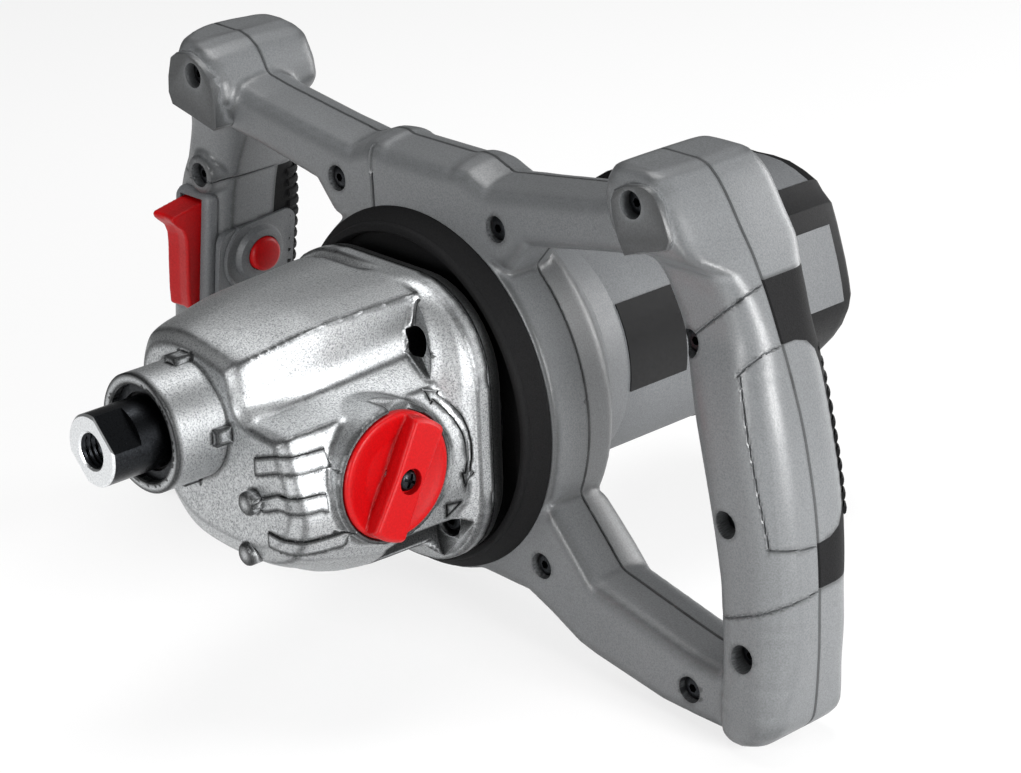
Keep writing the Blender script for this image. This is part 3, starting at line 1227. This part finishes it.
r, top, w, reach = g["headRadius"], g["headTop"], g["crossWidth"] / 2, g["crossReach"]
screw = solid("knobScrew", addTurnedX, [
    (0, seat), (r, seat), (r, top - 1.6), (r * 0.8, top - 0.5), (r * 0.45, top), (0, top)],
    steps=40)
cross = solid("cross", addBox, (top - 1.7, -w, -reach), (top + 1, w, reach))
combine(cross, solid("crossBar", addBox, (top - 1.7, -reach, -w), (top + 1, reach, w)), "UNION")
combine(screw, cross)
combine(screw, solid("shank", addTurnedX, rod(g["shankRadius"], 41, seat + 0.1), steps=16), "UNION")
screw.data.transform(knobTurn)
finishPiece(screw, "blackSteel", "selector", "black_steel", "knob_screw")
print("selector knob ready")

# spindle

spindlePiece = {
    "nose": -155, "radius": 13, "shoulder": -124.1, "shank": 8.5, "shankEnd": -56,
    "tail": 6, "end": -46, "flats": 10.6, "flatLength": 12, "flatTurn": 45,
    "threadCore": 5.95, "threadDepth": 1.0, "pitch": 2, "threadEnd": -133, "mouth": 7.5,
}
g = spindlePiece
r, shank, tail, nose, end = (g[k] for k in ("radius", "shank", "tail", "nose", "end"))
spindle = solid("spindle", addTurnedY, [
    (0, nose), (r - 0.8, nose), (r, nose + 0.8), (r, g["shoulder"]), (shank, g["shoulder"]),
    (shank, g["shankEnd"]), (tail, g["shankEnd"]), (tail, end), (0, end)], spindleAt, 128)
flatTurn = Matrix.Translation((spindleX, 0, spindleZ)) \
    @ Matrix.Rotation(-math.radians(g["flatTurn"]), 4, "Y")
for side in (1, -1):
    inner, outer = sorted((side * g["flats"], side * 20))
    flat = solid("flatCutter", addBox, (inner, nose - 1, -20), (outer, nose + g["flatLength"], 20))
    flat.data.transform(flatTurn)
    combine(spindle, flat)
# The thread: a bore whose radius rises and falls once per pitch along a right-hand helix
bm = bmesh.new()
rings, steps, y = [], 60, nose - 1
while y <= g["threadEnd"]:
    ring = []
    for i in range(steps):
        phase = (y / g["pitch"] + i / steps) % 1
        r = g["threadCore"] + g["threadDepth"] * (1 - abs(2 * phase - 1))
        angle = 2 * math.pi * i / steps
        ring.append((spindleX + r * math.cos(angle), y, spindleZ + r * math.sin(angle)))
    rings.append(ring)
    y += 0.25
addRings(bm, rings)
combine(spindle, newObject("threadCutter", bm))
combine(spindle, solid("mouthCutter", addTurnedY, [
    (0, nose - 1), (g["mouth"] + 1, nose - 1), (g["threadCore"] - 0.3, nose + 1.25),
    (0, nose + 1.25)], spindleAt, 64))
finishPiece(spindle, "spindleSteel", "spindle", "black_steel", "spindle", sharp=24)
print("spindle ready", len(spindle.data.polygons))

# rear cap

rearCap = {
    "front": 103.5, "round": 54.4, "lowerDrop": 8, "mouth": 44.5,
    "postAt": 27, "postRadius": 5, "postFront": 139.05, "screwRoom": 2.3, "headRoom": 4.4,
    "slots": 9, "slotPitch": 4.4, "slotHalf": 22, "slotWidth": 2.2,
    # half outline at the rear, from the top down the right side: x and z
    "outline": [(0, 48.6), (9, 49), (17.7, 48.4), (25, 46.4), (31.5, 43.6), (34.6, 40),
                (39.6, 35.8), (42.6, 28), (45, 20.6), (47.4, 13), (49.4, 5), (50.6, -1.6),
                (49.6, -7.4), (46.4, -14.6), (41.6, -21.4), (34.6, -29), (27, -36), (18, -42),
                (9, -45), (0, -46)],
}
g = rearCap
half = g["outline"]
capOutline = half + [(-x, z) for x, z in half[-2:0:-1]]


def capRing(y, share, scale, outward=0.0):
    # between a circle at share 0 and the faceted outline at share 1
    ring = []
    for x, z in capOutline:
        flat = Vector((x, z))
        turned = flat.normalized() * (g["round"] + g["lowerDrop"] * min(0, flat.normalized().y))
        point = turned.lerp(flat, share) * scale + flat.normalized() * outward
        ring.append((point.x, y, point.y))
    return ring


capStages = [(g["front"], 0, 0.975), (g["front"] + 0.5, 0, 0.992), (g["front"] + 1.5, 0, 1),
             (122, 0, 1), (125, 0.15, 1), (128, 0.6, 1), (131, 0.92, 1), (134, 1, 1),
             (158, 1, 0.995), (163, 1, 0.975), (165.2, 1, 0.945), (166, 1, 0.91)]
roomStages = [(g["front"] + 3, 0, 0.95), (124, 0.1, 0.95), (133, 1, 0.93), (158, 1, 0.93),
              (163, 1, 0.9)]
cap = solid("rearCap", addRings, [capRing(*stage) for stage in capStages])
combine(cap, solid("capRoom", addRings, [capRing(*stage) for stage in roomStages]))
combine(cap, solid("capMouth", addTurnedY, rod(g["mouth"], 90, 110)))
screwRoom, headRoom = g["screwRoom"], g["headRoom"]
for sideX in (g["postAt"], -g["postAt"]):
    for sideZ in (g["postAt"], -g["postAt"]):
        post = rod(g["postRadius"], g["postFront"], 164)
        combine(cap, solid("capPost", addTurnedY, post, (sideX, sideZ), 32), "UNION")
        combine(cap, solid("capScrewRoom", addTurnedY, [
            (0, 130), (screwRoom, 130), (screwRoom, 158), (headRoom, 158), (headRoom, 170),
            (0, 170)], (sideX, sideZ), 32))
bm = bmesh.new()
for k in range(g["slots"]):
    z, half = (k - (g["slots"] - 1) / 2) * g["slotPitch"], g["slotWidth"] / 2
    addPrismY(bm, roundedPoints(-g["slotHalf"], g["slotHalf"], z - half, z + half, 1.0), 155, 170)
combine(cap, newObject("capSlots", bm))
finishPiece(cap, "blackNylon", "drill_body", "black_plastic", "rear_cap", sharp=22)

# Grey inserts let into the cap: on top and on both shoulders
inserts = {"topInsert": range(-4, 5), "rightInsert": range(7, 12), "leftInsert": range(-11, -6)}
for name, indices in inserts.items():
    rings = []
    for y, share, outward in ((128, 0.6, -0.6), (128.6, 0.7, 0.35), (131, 0.92, 0.6),
                              (134, 1, 0.6), (157.4, 1, 0.6), (158.4, 1, -0.2)):
        scale = 0.995 if y > 150 else 1
        above = capRing(y, share, scale, outward)
        below = capRing(y, share, scale, -1.2)
        rings.append([above[i] for i in indices] + [below[i] for i in reversed(indices)])
    insert = solid(name, addRings, rings)
    finishPiece(insert, "housingNylon", "drill_body", "housing_grey", sharp=22)
print("rear cap ready")

# camera, lights, floor

view = {"azimuth": 48.034, "elevation": 22.077, "roll": -2.072, "lens": 104.17,
        "place": (764.5, -660.5, 404.6)}
stage = {"backdrop": 1.0, "skylight": 0.15, "floor": "#f4f4f4", "floorGlow": 0.75,
         "floorHalf": 6000}
a, e, r = (math.radians(view[k]) for k in ("azimuth", "elevation", "roll"))
back = Vector((math.sin(a) * math.cos(e), -math.cos(a) * math.cos(e), math.sin(e)))
right = Vector((math.cos(a), math.sin(a), 0))
up = back.cross(right)
right, up = (math.cos(r) * right + math.sin(r) * up, math.cos(r) * up - math.sin(r) * right)
cameraData = bpy.data.cameras.new("camera")
cameraData.lens = view["lens"]
cameraData.sensor_width = 36
cameraData.clip_start, cameraData.clip_end = 0.05, 50
camera = bpy.data.objects.new("camera", cameraData)
camera.matrix_world = Matrix.Translation(inFrame(*view["place"])) @ Matrix(
    (right, up, back)).transposed().to_4x4()
scene = bpy.context.scene
scene.collection.objects.link(camera)
scene.camera = camera
scene.view_settings.view_transform = "Standard"
world = bpy.data.worlds.new("world")
scene.world = world
world.use_nodes = True
tree = world.node_tree
tree.nodes.clear()
path = addNode(tree, "ShaderNodeLightPath")
seen = addNode(tree, "ShaderNodeMath", {"operation": "MAXIMUM"}, _0=path.outputs["Is Camera Ray"],
               _1=path.outputs["Is Transmission Ray"]).outputs[0]
strength = addNode(tree, "ShaderNodeMapRange", Value=seen, To_Min=stage["skylight"],
                   To_Max=stage["backdrop"]).outputs[0]
backdrop = addNode(tree, "ShaderNodeBackground", Color=(1, 1, 1, 1), Strength=strength)
addNode(tree, "ShaderNodeOutputWorld", Surface=backdrop.outputs[0])

lamps = {
    "key": {"from": (150, -1150, 260), "size": 450, "power": 8.5},
    "right": {"from": (1200, -60, 300), "size": 450, "power": 20},
    "top": {"from": (-150, 150, 1250), "size": 700, "power": 11},
    "rear": {"from": (400, 1250, 300), "size": 700, "power": 12},
}
for name, lamp in lamps.items():
    data = bpy.data.lights.new(name, "AREA")
    data.shape = "SQUARE"
    data.size = lamp["size"] / 1000
    data.energy = lamp["power"]
    obj = bpy.data.objects.new(name, data)
    obj.location = inFrame(*lamp["from"])
    obj.rotation_mode = "QUATERNION"
    obj.rotation_quaternion = (inFrame(0, 0, 0) - obj.location).to_track_quat("-Z", "Y")
    scene.collection.objects.link(obj)

half = stage["floorHalf"]
bm = bmesh.new()
bm.faces.new([bm.verts.new((x, y, floorZ)) for x, y in boxPoints((-half, -half), (half, half))])
floor = newObject("floor", bm)
floor.data.transform(toFrame)
floorPaint, tree = newMaterial("floorPaint")
diffuse = addNode(tree, "ShaderNodeBsdfDiffuse", Color=linear(stage["floor"]))
glow = addNode(tree, "ShaderNodeEmission", Color=(1, 1, 1, 1), Strength=1.0)
path = addNode(tree, "ShaderNodeLightPath")
seen = addNode(tree, "ShaderNodeMath", {"operation": "MULTIPLY"},
               _0=path.outputs["Is Camera Ray"], _1=stage["floorGlow"]).outputs[0]
mixed = addNode(tree, "ShaderNodeMixShader", _0=seen, _1=diffuse.outputs[0], _2=glow.outputs[0])
addNode(tree, "ShaderNodeOutputMaterial", Surface=mixed.outputs[0])
floor.data.materials.append(floorPaint)
print("stage ready")
